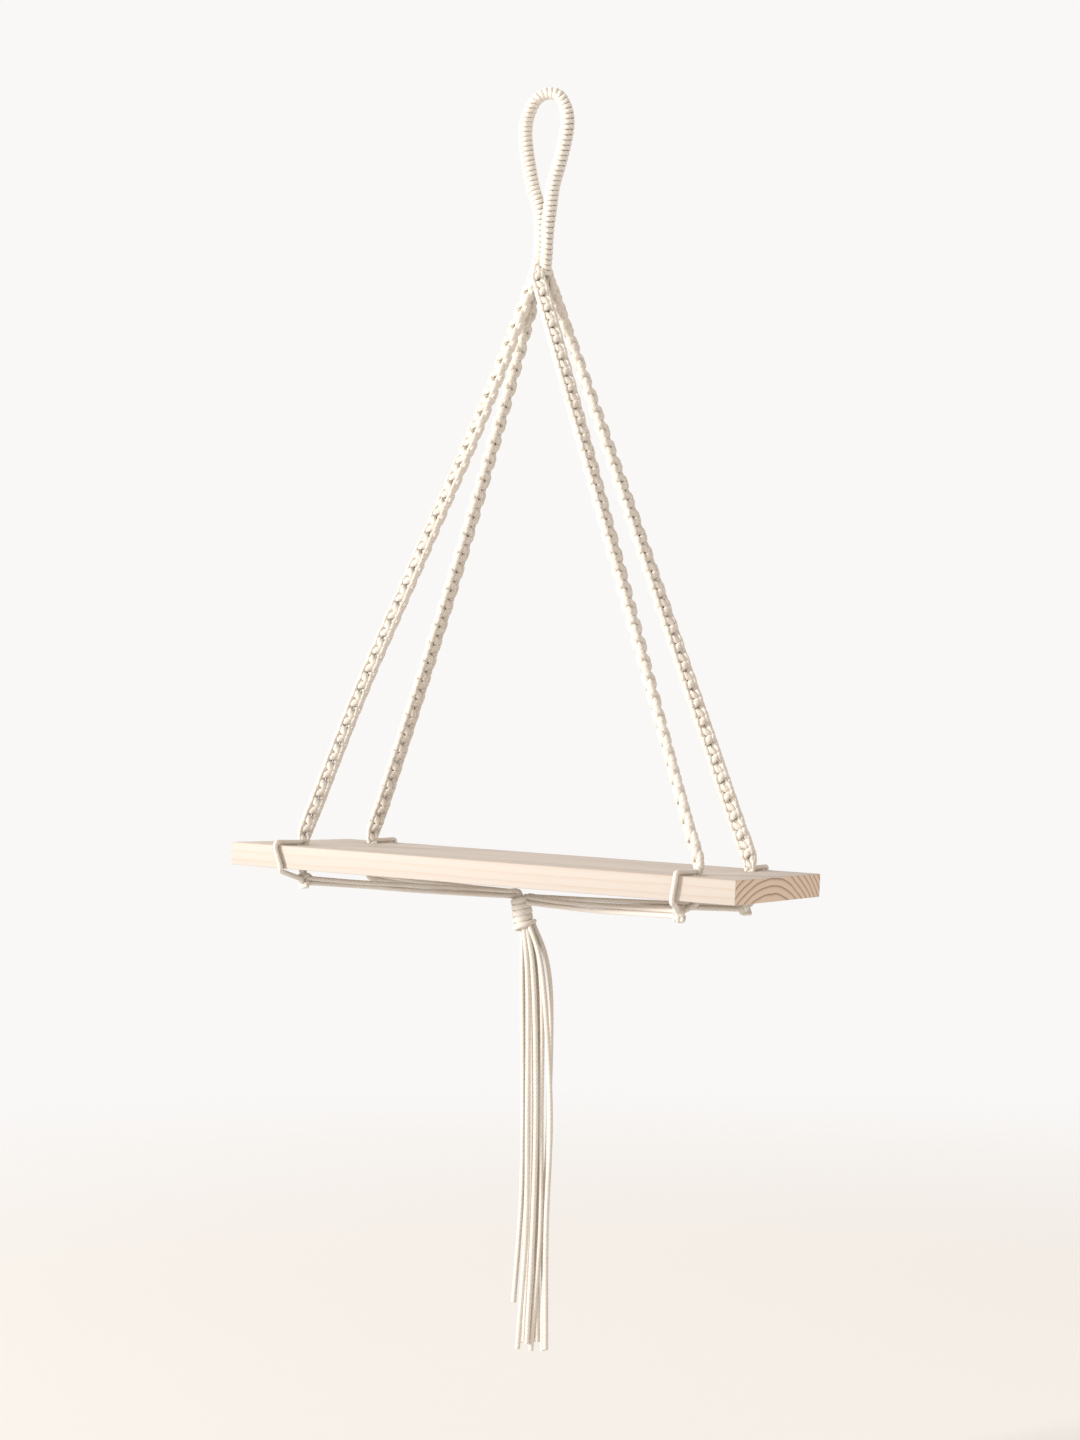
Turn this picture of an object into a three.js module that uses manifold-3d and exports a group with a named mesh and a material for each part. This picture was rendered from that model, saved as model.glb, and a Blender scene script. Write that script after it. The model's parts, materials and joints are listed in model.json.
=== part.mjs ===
// A macrame wall shelf: one pine board that hangs from a wrapped cord loop by four chains of square knots.
// Millimetres, +Z up, +X to the right along the wall, +Y into the wall.
// The origin is the point inside the top of the loop where it hangs.
import * as THREE from "three";
import { mergeVertices } from "three/addons/utils/BufferGeometryUtils.js";
import Module from "manifold-3d";

const wasm = await Module();
wasm.setup();

// The board, cut from one plank
const BOARD_LENGTH = 457;
const BOARD_DEPTH = 184;
const BOARD_THICK = 19;
const BOARD_TILT = THREE.MathUtils.degToRad(3.2); // the right end hangs lower
const BOARD_DROP = 665; // from the hanging point down to the board's top
const BOARD_SIDE = 18; // the board's middle lies this far right of the hanging point
const WALL_GAP = 7.6; // from the hanging point back to the wall, which the board's back edge touches
const HOLE_ACROSS = 14;
const CLEAR_HALF = 160; // half the stretch of the top between the cords, where things stand

// The cord and the small gap that pieces keep where they touch
const CORD = 3.6;
const CORD_RADIUS = CORD / 2;
const TOUCH = 0.3;

// The hanging loop and its neck lean out from the wall by this angle, to where the four chains meet
const LOOP_LEAN = THREE.MathUtils.degToRad(6.2);
const LOOP_CENTRE = -1.3; // the teardrop's middle, to the right of the hanging point
const LOOP_SIDES = 8;
const LOOP_RADIUS = 6.3;
const LOOP_TOP_RADIUS = 5.3;
const WRAP_PITCH = 4.7;
const WRAP_DEPTH = 0.55;
const LEG_CROSSING = 3.2; // how far the right leg comes forward and the left one goes back where they meet
const LEGS_CLOSE = 81; // below this depth the legs drift over to the neck's line
const NECK_X = 1.8;
const NECK_START = 108;
const NECK_END = 161;
const NECK_RADIUS = 7.8;
const NECK_TAPER = 1.3;
const NECK_SIDES = 10;

// Square knots: two half knots each, one side loop after the other
const KNOT_PITCH = 16.5;
const CHAIN_TOP_SCALE = 0.72; // the first knots below the neck are drawn in
const CHAIN_TOP_KNOTS = 2.5;
const CHAIN_SIDES = 8;
const KNOT_RINGS = [
  { left: 4.4, right: 4.4, deep: 3.9 },
  { left: 7.3, right: 5.3, deep: 4.9 },
  { left: 5.3, right: 7.3, deep: 4.9 },
];

// The knots below the board and the tassel at its middle
const FOOT_RADIUS = 4.4;
const FOOT_HEIGHT = 1.2;
const FOOT_STRAIGHT = 7; // the chain stands upright on the board for this length
const BUNDLE_RADIUS = 3.8;
const TIE_DROP = 11; // from the board's underside to the middle of a corner knot
const TIE_RADIUS = 5.8;
const CUT_END_RADIUS = 1.6;
const TASSEL_X = 17.4;
const TASSEL_HEAD_TOP = -692;
const HEAD_LENGTH = 31.5;
const HEAD_LEAN = 4.2;
const HEAD_RADIUS = 8;
const HEAD_SIDES = 10;
const STRAND_ACROSS = 3;
const STRAND_STEPS = 14;

// One row for each corner. x and y: the hole, from the board's middle. tieX and tieY: the knot below it.
// low: how far the strap strays along the edge on its way down.
// topX and topOut: where the chain meets the neck's foot, to the right of the neck's line and out from it.
// bow and sway: how far the chain strays to the right, as one wave and as two along its length.
// start and turns: the chain's turn about itself at its foot, and along its whole length.
// meet: how far below its top the tassel's head takes the runner. slack: the runner's sag.
const CORNERS = [
  {
    name: "front_left", x: -182, y: -53, tieX: -179, tieY: -54, low: 5,
    topX: -5.8, topOut: 3.8, bow: 1, sway: -3.8, start: 0.1, turns: -0.2, meet: 3.5, slack: 0.5,
  },
  {
    name: "front_right", x: 181, y: -53, tieX: 174, tieY: -70, low: -3,
    topX: 0.8, topOut: 9.2, bow: 0.5, sway: 0, start: 0.86, turns: -0.3, meet: 8, slack: 1.5,
  },
  {
    name: "back_left", x: -179, y: 53, tieX: -178, tieY: 58, low: 3,
    topX: -5.6, topOut: -5.6, bow: 4.5, sway: 0, start: 0.6, turns: 0.2, meet: 4, slack: 1,
  },
  {
    name: "back_right", x: 181, y: 53, tieX: 177, tieY: 60, low: -3,
    topX: 5.6, topOut: -5.6, bow: 0.5, sway: 0, start: 0.01, turns: 0.31, meet: 7, slack: 1,
  },
];

// Half the loop's width at each depth below the hanging point, with the tube's middle at each
const LOOP_SHAPE = [
  { down: -5.3, half: 0 },
  { down: -1.8, half: 10.5 },
  { down: 7.5, half: 16.8 },
  { down: 18, half: 20.1 },
  { down: 30, half: 20.6 },
  { down: 45, half: 18.4 },
  { down: 62, half: 15 },
  { down: 81, half: 10.7 },
  { down: 102, half: 7.4 },
  { down: 120, half: 3.6 },
];

// The tassel's strands. upper, middle, lower and end: how far each hangs to the right of the head's foot at
// the shares of its length in STRAND_STATIONS. depth: how far it hangs towards the wall. long: its length.
const STRAND_STATIONS = { upper: 0.15, middle: 0.45, lower: 0.72, end: 1 };
const STRANDS = [
  { upper: -3, middle: -2.4, lower: -3.8, end: -11.2, depth: -1.5, long: 312 },
  { upper: -3.8, middle: -3.4, lower: -4.3, end: -8, depth: 5, long: 346 },
  { upper: 4.2, middle: 3.8, lower: 2.4, end: -5.5, depth: -5.5, long: 349 },
  { upper: 2.4, middle: 3.8, lower: 1.5, end: -4, depth: 3.3, long: 345 },
  { upper: 9.3, middle: 11.2, lower: 8.4, end: 2.8, depth: -4.5, long: 344 },
  { upper: 7.3, middle: 7.8, lower: 6, end: 1.7, depth: 5.2, long: 348 },
  { upper: 11.2, middle: 10.3, lower: 9.3, end: 9.5, depth: 1, long: 343 },
  { upper: 14.5, middle: 14.1, lower: 13.3, end: 4.7, depth: -1.2, long: 350 },
  { upper: 22.3, middle: 20, lower: 15.3, end: 14, depth: 2.2, long: 350 },
  { upper: 19.8, middle: 25.8, lower: 21.2, end: 20.2, depth: -5, long: 347 },
];

// The outline of two round strands side by side, in strand radii
const CORD_PAIR = [
  [0.35, 0], [1, 0.55], [1, 1.45], [0.35, 1.95], [-0.35, 1.95],
  [-1, 1.45], [-1, 0.55], [-0.35, 0], [-1, -0.55], [-1, -1.45],
  [-0.35, -1.95], [0.35, -1.95], [1, -1.45], [1, -0.55],
];

const Y_AXIS = new THREE.Vector3(0, 1, 0);
const Z_AXIS = new THREE.Vector3(0, 0, 1);

const cotton = () => new THREE.MeshStandardMaterial({ color: 0xeae2d6, roughness: 0.95, metalness: 0 });
const pine = () => new THREE.MeshStandardMaterial({ color: 0xe9cfae, roughness: 0.65, metalness: 0 });

// The board's own frame: its origin is the middle of the board's top face
const boardGroup = new THREE.Group();
boardGroup.position.set(BOARD_SIDE, WALL_GAP - BOARD_DEPTH / 2, -BOARD_DROP);
boardGroup.rotation.y = BOARD_TILT;
boardGroup.updateMatrixWorld(true);
const onBoard = (x, y, z) => boardGroup.localToWorld(new THREE.Vector3(x, y, z));

// A closed surface through rings of equally many points, with a flat cap at each end
function loft(rings) {
  const count = rings[0].length;
  const points = rings.flat();
  const last = (rings.length - 1) * count;
  const faces = [];
  for (let r = 0; r + 1 < rings.length; r++) {
    for (let k = 0; k < count; k++) {
      const a = r * count + k;
      const b = r * count + ((k + 1) % count);
      faces.push(a, b, a + count, b, b + count, a + count);
    }
  }
  for (let k = 1; k + 1 < count; k++) {
    faces.push(0, k + 1, k);
    faces.push(last, last + k, last + k + 1);
  }
  const geometry = new THREE.BufferGeometry().setFromPoints(points);
  geometry.setIndex(faces);
  return geometry;
}

// Rings along a curve: outlineAt(t) gives each ring's outline as pairs across and along the reference
function sweep(curve, steps, reference, outlineAt) {
  const rings = [];
  for (let i = 0; i <= steps; i++) {
    const t = i / steps;
    const middle = curve.getPointAt(t);
    const forward = curve.getTangentAt(t);
    const across = new THREE.Vector3().crossVectors(reference, forward).normalize();
    const along = new THREE.Vector3().crossVectors(forward, across);
    const place = ([u, v]) => middle.clone().addScaledVector(across, u).addScaledVector(along, v);
    rings.push(outlineAt(t, i).map(place));
  }
  return loft(rings);
}

function circle(radius, sides) {
  const outline = [];
  for (let k = 0; k < sides; k++) {
    const angle = ((k + 0.5) / sides) * 2 * Math.PI;
    outline.push([radius * Math.cos(angle), radius * Math.sin(angle)]);
  }
  return outline;
}

// A plain round cord through a few points
function cord(points, radius, steps, sides) {
  const outline = circle(radius, sides).map(([u, v]) => new THREE.Vector2(u, v));
  const extrudePath = new THREE.CatmullRomCurve3(points, false, "centripetal");
  return new THREE.ExtrudeGeometry(new THREE.Shape(outline), { steps, extrudePath, bevelEnabled: false });
}

function toSolid(geometry) {
  const bare = geometry.clone();
  bare.deleteAttribute("normal");
  bare.deleteAttribute("uv");
  const merged = mergeVertices(bare, 1e-4);
  const triVerts = new Uint32Array(merged.index.array);
  const vertProperties = new Float32Array(merged.attributes.position.array);
  return new wasm.Manifold(new wasm.Mesh({ numProp: 3, vertProperties, triVerts }));
}

function toGeometry(solid) {
  const mesh = solid.getMesh();
  const geometry = new THREE.BufferGeometry();
  geometry.setAttribute("position", new THREE.BufferAttribute(mesh.vertProperties, 3));
  geometry.setIndex(new THREE.BufferAttribute(mesh.triVerts, 1));
  return geometry;
}

const fuse = (geometries) => toGeometry(geometries.map(toSolid).reduce((sum, next) => sum.add(next)));

// The plank: two drilled ends and the clear stretch between them, whose top is one face for things to stand on
function board() {
  const block = (from, to) => {
    const length = new THREE.BoxGeometry(to - from, BOARD_DEPTH, BOARD_THICK);
    return length.translate((from + to) / 2, 0, -BOARD_THICK / 2);
  };
  const end = BOARD_LENGTH / 2;
  const blocks = [block(-end, -CLEAR_HALF), block(-CLEAR_HALF, CLEAR_HALF), block(CLEAR_HALF, end)];
  let solid = blocks.map(toSolid).reduce((sum, next) => sum.add(next));
  for (const corner of CORNERS) {
    const hole = new THREE.CylinderGeometry(HOLE_ACROSS / 2, HOLE_ACROSS / 2, 2 * BOARD_THICK, 24);
    hole.rotateX(Math.PI / 2);
    hole.translate(corner.x, corner.y, -BOARD_THICK / 2);
    solid = solid.subtract(toSolid(hole));
  }
  return toGeometry(solid);
}

// A place in the loop's leaning plane: x to the right, down along the lean, out towards the room
function inLoop(x, down, out) {
  const lean = new THREE.Vector3(0, -Math.sin(LOOP_LEAN), -Math.cos(LOOP_LEAN));
  const toRoom = new THREE.Vector3(0, -Math.cos(LOOP_LEAN), Math.sin(LOOP_LEAN));
  return new THREE.Vector3(x, 0, 0).addScaledVector(lean, down).addScaledVector(toRoom, out);
}

// The wrapping cord's turns stand up as ridges: two rings for each turn, one high and one low
const wrapped = (radius, i, sides) => circle(i % 2 ? radius : radius - WRAP_DEPTH, sides);

// The loop: a bundle of cords bent into a teardrop and wrapped all along, then bound into one neck
function hangingLoop() {
  const { smoothstep, lerp } = THREE.MathUtils;
  const normal = inLoop(0, 0, 1);
  const onLeg = (row, sign) => {
    const drift = (NECK_X - LOOP_CENTRE) * smoothstep(row.down, LEGS_CLOSE, NECK_START);
    const forward = sign * LEG_CROSSING * smoothstep(row.down, LEGS_CLOSE / 2, NECK_START);
    return inLoop(LOOP_CENTRE + drift + sign * row.half, row.down, forward);
  };
  const left = LOOP_SHAPE.slice(1).reverse().map((row) => onLeg(row, -1));
  const right = LOOP_SHAPE.map((row) => onLeg(row, 1));
  const legs = new THREE.CatmullRomCurve3([...left, ...right], false, "centripetal");
  const legTurns = Math.round(legs.getLength() / WRAP_PITCH);
  const legRadius = (t) => lerp(LOOP_TOP_RADIUS, LOOP_RADIUS, smoothstep(Math.abs(t - 0.5), 0, 0.12));
  const teardrop = sweep(legs, 2 * legTurns, normal, (t, i) => wrapped(legRadius(t), i, LOOP_SIDES));

  const neckLine = new THREE.LineCurve3(inLoop(NECK_X, NECK_END, 0), inLoop(NECK_X, NECK_START, 0));
  const neckTurns = Math.round((NECK_END - NECK_START) / WRAP_PITCH);
  const neckRadius = (t) => NECK_RADIUS - NECK_TAPER * (1 - t);
  const neck = sweep(neckLine, 2 * neckTurns, normal, (t, i) => wrapped(neckRadius(t), i, NECK_SIDES));
  return fuse([teardrop, neck]);
}

// Where each chain leaves the neck's foot
function chainTop(corner, below) {
  return inLoop(NECK_X + corner.topX, NECK_END + below, corner.topOut);
}

// One chain of square knots, from its foot in the board's hole up to the neck
function chain(corner) {
  const foot = onBoard(corner.x, corner.y, FOOT_HEIGHT);
  const straight = onBoard(corner.x, corner.y, FOOT_HEIGHT + FOOT_STRAIGHT);
  const end = chainTop(corner, TOUCH + 0.1);
  const top = chainTop(corner, CORD);
  const stray = (share) => {
    const sideways = corner.bow * Math.sin(Math.PI * share) + corner.sway * Math.sin(2 * Math.PI * share);
    return straight.clone().lerp(top, share).add(new THREE.Vector3(sideways, 0, 0));
  };
  const shares = [0.06, 0.25, 0.5, 0.75, 0.97];
  const stops = [foot, straight, ...shares.map(stray), top, end];
  const path = new THREE.CatmullRomCurve3(stops, false, "centripetal");
  const knots = Math.round(path.getLength() / KNOT_PITCH);
  const steps = knots * KNOT_RINGS.length;
  const outline = (t, i) => {
    const ring = KNOT_RINGS[i % KNOT_RINGS.length];
    const fromTop = (steps - i) / KNOT_RINGS.length;
    const drawnIn = THREE.MathUtils.smoothstep(fromTop, 0, CHAIN_TOP_KNOTS);
    const scale = THREE.MathUtils.lerp(CHAIN_TOP_SCALE, 1, drawnIn);
    const turn = 2 * Math.PI * (corner.start + corner.turns * t);
    if (i < 2) return circle(FOOT_RADIUS, CHAIN_SIDES);
    return circle(1, CHAIN_SIDES).map(([u, v]) => {
      const wide = u * scale * (u < 0 ? ring.left : ring.right);
      const deep = v * scale * ring.deep;
      return [wide * Math.cos(turn) - deep * Math.sin(turn), wide * Math.sin(turn) + deep * Math.cos(turn)];
    });
  };
  return sweep(path, steps, Y_AXIS, outline);
}

function tieMiddle(corner) {
  return new THREE.Vector3(corner.tieX, corner.tieY, -BOARD_THICK - TIE_DROP);
}

// In the board's frame: one strand leaves the chain's foot, passes over the nearest long edge and under it
function strap(corner) {
  const outwards = Math.sign(corner.y);
  const clear = CORD_RADIUS + TOUCH;
  const edge = BOARD_DEPTH / 2;
  const below = -BOARD_THICK;
  const highX = corner.x - 1;
  const lowX = corner.x + corner.low;
  const at = (x, y, z) => new THREE.Vector3(x, outwards * y, z);
  const start = at(corner.x, Math.abs(corner.y) + FOOT_RADIUS + TOUCH + 0.2, clear);
  const under = at(lowX, edge - 1.5, below - clear - 0.4);
  const tie = tieMiddle(corner);
  const end = tie.clone().addScaledVector(under.clone().sub(tie).normalize(), TIE_RADIUS + TOUCH + 1);
  const overTop = [at(highX, edge - 12, clear), at(highX, edge - 1, clear + 0.1), at(highX, edge + 1.8, 1.5)];
  const downFace = [at(highX, edge + clear + 0.1, -1.5), at(lowX, edge + clear + 0.1, below + 1.5)];
  const points = [start, ...overTop, ...downFace, at(lowX, edge + 1.8, below - 1.6), under, end];
  return cord(points, CORD_RADIUS, 22, 6);
}

// A lump with the slanting ridges of a tied knot
function knotLump(middle) {
  const ball = new THREE.SphereGeometry(TIE_RADIUS, 10, 7);
  const spots = ball.attributes.position;
  for (let i = 0; i < spots.count; i++) {
    const spot = new THREE.Vector3().fromBufferAttribute(spots, i);
    const ridge = Math.cos((2 * Math.PI * (spot.x + 0.6 * spot.y)) / CORD);
    spot.multiplyScalar(1 + 0.1 * ridge);
    spots.setXYZ(i, spot.x, spot.y, 0.85 * spot.z);
  }
  return ball.translate(middle.x, middle.y, middle.z);
}

// In the board's frame: the strands that go down through the hole, the knot that ties them, and two cut ends
function cornerTie(corner) {
  const tie = tieMiddle(corner);
  const inHole = [FOOT_HEIGHT - TOUCH, -BOARD_THICK / 2, -BOARD_THICK - 1];
  const route = inHole.map((z) => new THREE.Vector3(corner.x, corner.y, z));
  const bundle = cord([...route, tie], BUNDLE_RADIUS, 6, 8);
  const cutEnds = [-1, 1].map((sign) => {
    const tip = new THREE.Vector3(sign * 6.5, -3 * sign, -8).add(tie);
    return cord([tie, tie.clone().lerp(tip, 0.6), tip], CUT_END_RADIUS, 2, 6);
  });
  return fuse([bundle, knotLump(tie), ...cutEnds]);
}

const headTop = new THREE.Vector3(TASSEL_X, WALL_GAP - BOARD_DEPTH / 2, TASSEL_HEAD_TOP);
const headFoot = headTop.clone().add(new THREE.Vector3(HEAD_LEAN, 0, -HEAD_LENGTH));

// Two strands side by side run below the board from each corner knot to the tassel
function runner(corner) {
  const tie = boardGroup.localToWorld(tieMiddle(corner));
  const meeting = headTop.clone().lerp(headFoot, corner.meet / HEAD_LENGTH);
  const inwards = meeting.clone().sub(tie).normalize();
  const from = tie.clone().addScaledVector(inwards, TIE_RADIUS + TOUCH + 0.35);
  const to = meeting.clone().addScaledVector(inwards, -HEAD_RADIUS - TOUCH - 0.7);
  const sag = (share) => {
    const dip = -corner.slack * Math.sin(Math.PI * share);
    return from.clone().lerp(to, share).addScaledVector(Z_AXIS, dip);
  };
  const path = new THREE.CatmullRomCurve3([from, ...[0.25, 0.5, 0.75].map(sag), to], false, "centripetal");
  const outline = (t) => {
    const turn = THREE.MathUtils.degToRad(15 + 25 * Math.sin(2 * Math.PI * t));
    return CORD_PAIR.map(([u, v]) => [
      CORD_RADIUS * (u * Math.cos(turn) - v * Math.sin(turn)),
      CORD_RADIUS * (u * Math.sin(turn) + v * Math.cos(turn)),
    ]);
  };
  return sweep(path, 10, Z_AXIS, outline);
}

// One strand of the tassel, from inside the head to its cut end
function strand(row) {
  const fan = THREE.MathUtils.mapLinear(row.upper, -4, 22, -4.6, 4.6);
  const root = headFoot.clone().add(new THREE.Vector3(fan, 0.8 * row.depth, 4));
  const place = (share, sideways) =>
    new THREE.Vector3(headFoot.x + sideways, headFoot.y + row.depth, root.z - row.long * share);
  const leaving = place(0.07, THREE.MathUtils.lerp(fan, row.upper, 0.68));
  const points = Object.entries(STRAND_STATIONS).map(([station, share]) => place(share, row[station]));
  return cord([root, leaving, ...points], STRAND_ACROSS / 2, STRAND_STEPS, 4);
}

// The tassel: its strands are bound by a wrapped head
function tassel() {
  const line = new THREE.LineCurve3(headFoot, headTop);
  const turns = Math.round(HEAD_LENGTH / CORD);
  const shoulder = (t) => HEAD_RADIUS - 2.6 * THREE.MathUtils.smoothstep(t, 0.86, 1) - 0.8 * (1 - t);
  const outline = (t, i) => wrapped(shoulder(t), i, HEAD_SIDES);
  const head = sweep(line, 2 * turns, Y_AXIS, outline);
  return fuse([head, ...STRANDS.map(strand)]);
}

const shelf = new THREE.Group();
shelf.add(boardGroup);

function addPiece(parent, name, geometry, material) {
  const mesh = new THREE.Mesh(geometry, material);
  mesh.name = name;
  parent.add(mesh);
}

addPiece(boardGroup, "board", board(), pine());
addPiece(shelf, "hanging_loop", hangingLoop(), cotton());
addPiece(shelf, "tassel", tassel(), cotton());
for (const corner of CORNERS) {
  addPiece(shelf, "chain_" + corner.name, chain(corner), cotton());
  addPiece(shelf, "runner_" + corner.name, runner(corner), cotton());
  addPiece(boardGroup, "strap_" + corner.name, strap(corner), cotton());
  addPiece(boardGroup, "tie_" + corner.name, cornerTie(corner), cotton());
}

export default shelf;
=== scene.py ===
# %% [markdown]
# # A macrame wall shelf
#
# A pine board hangs from four chains of square knots. The chains meet in a wrapped neck, and above it the
# bundle of cords is bent over into a loop for a nail. Below the board the cords run to its middle and hang
# down as a tassel. Everything soft is one kind of undyed cotton cord.
#
# The frame that is loaded first holds the shelf's plain solids at their real size. Each one is dressed here
# with a finer mesh in the same place: the cords are really knotted and wound, ply by ply, because at arm's
# length the eye reads a cord by its twist and by the shadow between two turns.

import json
import math

import bmesh
import bpy
from mathutils import Matrix, Vector


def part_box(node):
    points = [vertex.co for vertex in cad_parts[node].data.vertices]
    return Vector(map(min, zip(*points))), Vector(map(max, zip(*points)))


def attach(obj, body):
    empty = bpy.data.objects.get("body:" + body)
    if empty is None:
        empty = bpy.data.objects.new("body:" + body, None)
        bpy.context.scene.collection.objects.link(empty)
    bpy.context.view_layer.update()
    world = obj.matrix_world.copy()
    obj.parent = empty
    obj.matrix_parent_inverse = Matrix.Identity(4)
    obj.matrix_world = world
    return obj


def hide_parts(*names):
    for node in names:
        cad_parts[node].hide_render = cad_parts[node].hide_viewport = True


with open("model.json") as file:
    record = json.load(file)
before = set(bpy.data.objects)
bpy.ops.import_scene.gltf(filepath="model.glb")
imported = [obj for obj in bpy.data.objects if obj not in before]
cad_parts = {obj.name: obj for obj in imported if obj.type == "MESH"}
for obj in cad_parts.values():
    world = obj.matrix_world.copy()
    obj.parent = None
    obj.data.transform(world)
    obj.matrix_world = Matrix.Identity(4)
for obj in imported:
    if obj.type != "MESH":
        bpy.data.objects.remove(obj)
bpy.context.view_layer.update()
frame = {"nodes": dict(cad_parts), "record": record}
MM = 0.001
TURN = 2 * math.pi


def new_object(name, data):
    """A new object in the scene that holds the data."""
    made = bpy.data.objects.new(name, data)
    bpy.context.scene.collection.objects.link(made)
    return made


# %% [markdown]
# ## Where the board hangs
#
# The board hangs a little low at its right end, as a hand-tied shelf does. Its own frame has its origin in
# the middle of the top face, and it is worked out from the frame's record, so nothing is measured twice.

# %% The board's own frame
mounts = {mount["name"]: mount for mount in frame["record"]["mounts"]}
board_up = Vector(mounts["shelf_top"]["axis"]).normalized()
board_along = Vector((board_up.z, 0, -board_up.x))
to_wall = Vector((0, 1, 0))
low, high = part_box("board")
board_turn = Matrix((board_along, to_wall, board_up))
from_middle = [board_turn @ (v.co - (low + high) / 2) for v in frame["nodes"]["board"].data.vertices]
BOARD_LENGTH, BOARD_DEPTH, BOARD_THICK = (2 * max(p[axis] for p in from_middle) for axis in range(3))
board_top = (low + high) / 2 + board_up * BOARD_THICK / 2
board_frame = Matrix.Translation(board_top) @ board_turn.transposed().to_4x4()
board_tilt = math.atan2(board_up.x, board_up.z)
print("board in mm:", [round(v / MM, 1) for v in (BOARD_LENGTH, BOARD_DEPTH, BOARD_THICK)])
print("tilt in degrees:", round(math.degrees(board_tilt), 2))


def on_board(x, y, z):
    """A place in millimetres from the middle of the board's top face."""
    return board_frame @ (Vector((x, y, z)) * MM)


# %% [markdown]
# ## The corners
#
# Each corner has a hole, a chain that stands in it, a strap over the edge, a knot under the board and a
# runner to the tassel. One row of a small table holds what differs from corner to corner, in millimetres
# from the board's middle, so that every function below takes a row and makes its piece at that corner: where
# the hole and the knot are, how far the strap slips sideways on its way down, how far down the tassel's head
# the runner arrives and how far it sags.

# %% The four corners
def table(columns, *rows):
    """A small table's rows as dictionaries, with each value under its column's name."""
    return [dict(zip(columns.split(), row)) for row in rows]


CORNERS = table(
    "name x y tie_x tie_y low meet slack",
    ("front_left", -182, -53, -179, -54, 5, 3.5, 0.5),
    ("front_right", 181, -53, 174, -70, -3, 8, 1.5),
    ("back_left", -179, 53, -178, 58, 3, 4, 1),
    ("back_right", 181, 53, 177, 60, -3, 7, 1),
)
HOLE_ACROSS = 14 * MM
CORD_RADIUS = 2.1 * MM
print(len(CORNERS), "corners, holes", round(HOLE_ACROSS / MM), "mm across")

# %% [markdown]
# ## Camera
#
# The camera stands to the right of the shelf, a little below the board, and looks slightly up and to the
# left. The place and the lens were fitted to the corners of the board, so the long lens keeps the board's
# lines as flat as they are seen from across a room.

# %% Camera
CAMERA_PLACE = Vector((876.55, -1730.15, -620.91)) * MM
CAMERA_LENS = 55.69
CAMERA_YAW = math.radians(27.106)
CAMERA_PITCH = math.radians(2.174)
camera_data = bpy.data.cameras.new("camera")
camera_data.lens = CAMERA_LENS
camera = new_object("camera", camera_data)
camera.location = CAMERA_PLACE
camera.rotation_euler = (math.pi / 2 + CAMERA_PITCH, 0, CAMERA_YAW)
bpy.context.scene.camera = camera
print("camera", round(CAMERA_PLACE.length, 2), "m from the hanging point")

# %% [markdown]
# ## Light
#
# The light comes from one window to the left, low enough for the board's front edge to be brighter than its
# top, and small enough for a cord to draw a dark line on what lies behind it. A large lamp could be closer
# and weaker, but then one end of the board would be brighter than the other. A faint second light warms the
# shaded end of the board.

# %% Lights
AIM = Vector((0.0, -0.09, -0.6))
LIGHTS = [
    {"name": "window", "place": (-9, -10.3, 3.1), "across": 2.6, "watts": 2100, "colour": (1, 0.99, 0.98)},
    {"name": "fill", "place": (2.4, -2, 0.6), "across": 2, "watts": 8, "colour": (1, 0.93, 0.86)},
]


def add_light(row):
    """An area light at its place, turned to the shelf."""
    data = bpy.data.lights.new(row["name"], "AREA")
    data.shape = "DISK"
    data.size = row["across"]
    data.energy = row["watts"]
    data.color = row["colour"]
    light = new_object(row["name"], data)
    light.location = row["place"]
    light.rotation_euler = (AIM - light.location).to_track_quat("-Z", "Y").to_euler()


for row in LIGHTS:
    add_light(row)
bpy.context.scene.view_settings.view_transform = "Standard"
print(len(LIGHTS), "lights")

# %% [markdown]
# ## Sums on sockets
#
# Node trees are easier to read as sums than as boxes and wires. The small class below wraps one socket and
# gives it Python's plus, minus, times and divide, and the net adds any other node with its settings and
# what feeds it in one call. The same two classes build the materials and the geometry trees.


# %% A socket that can be added and multiplied
def pick(sockets, key):
    """A socket by its number, or by the name that is in use under the node's settings."""
    if isinstance(key, int):
        return sockets[key]
    return next(socket for socket in sockets if socket.name == key and socket.enabled)


def is_vector(item):
    """Whether an item of a sum is a vector or a vector's socket."""
    return item.socket.type == "VECTOR" if isinstance(item, Value) else hasattr(item, "__len__")


class Value:
    """One node socket that Python sums can be written with."""

    def __init__(self, net, socket):
        self.net = net
        self.socket = socket

    def combine(self, operation, first, second):
        vectors = is_vector(first) or is_vector(second)
        kind = "ShaderNodeVectorMath" if vectors else "ShaderNodeMath"
        return self.net.node(kind, {"operation": operation}, {0: first, 1: second})[0]

    def __add__(self, other):
        return self.combine("ADD", self, other)

    def __sub__(self, other):
        return self.combine("SUBTRACT", self, other)

    def __rsub__(self, other):
        return self.combine("SUBTRACT", other, self)

    def __mul__(self, other):
        return self.combine("MULTIPLY", self, other)

    def __truediv__(self, other):
        return self.combine("DIVIDE", self, other)

    def __pow__(self, other):
        return self.combine("POWER", self, other)

    __radd__ = __add__
    __rmul__ = __mul__


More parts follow.
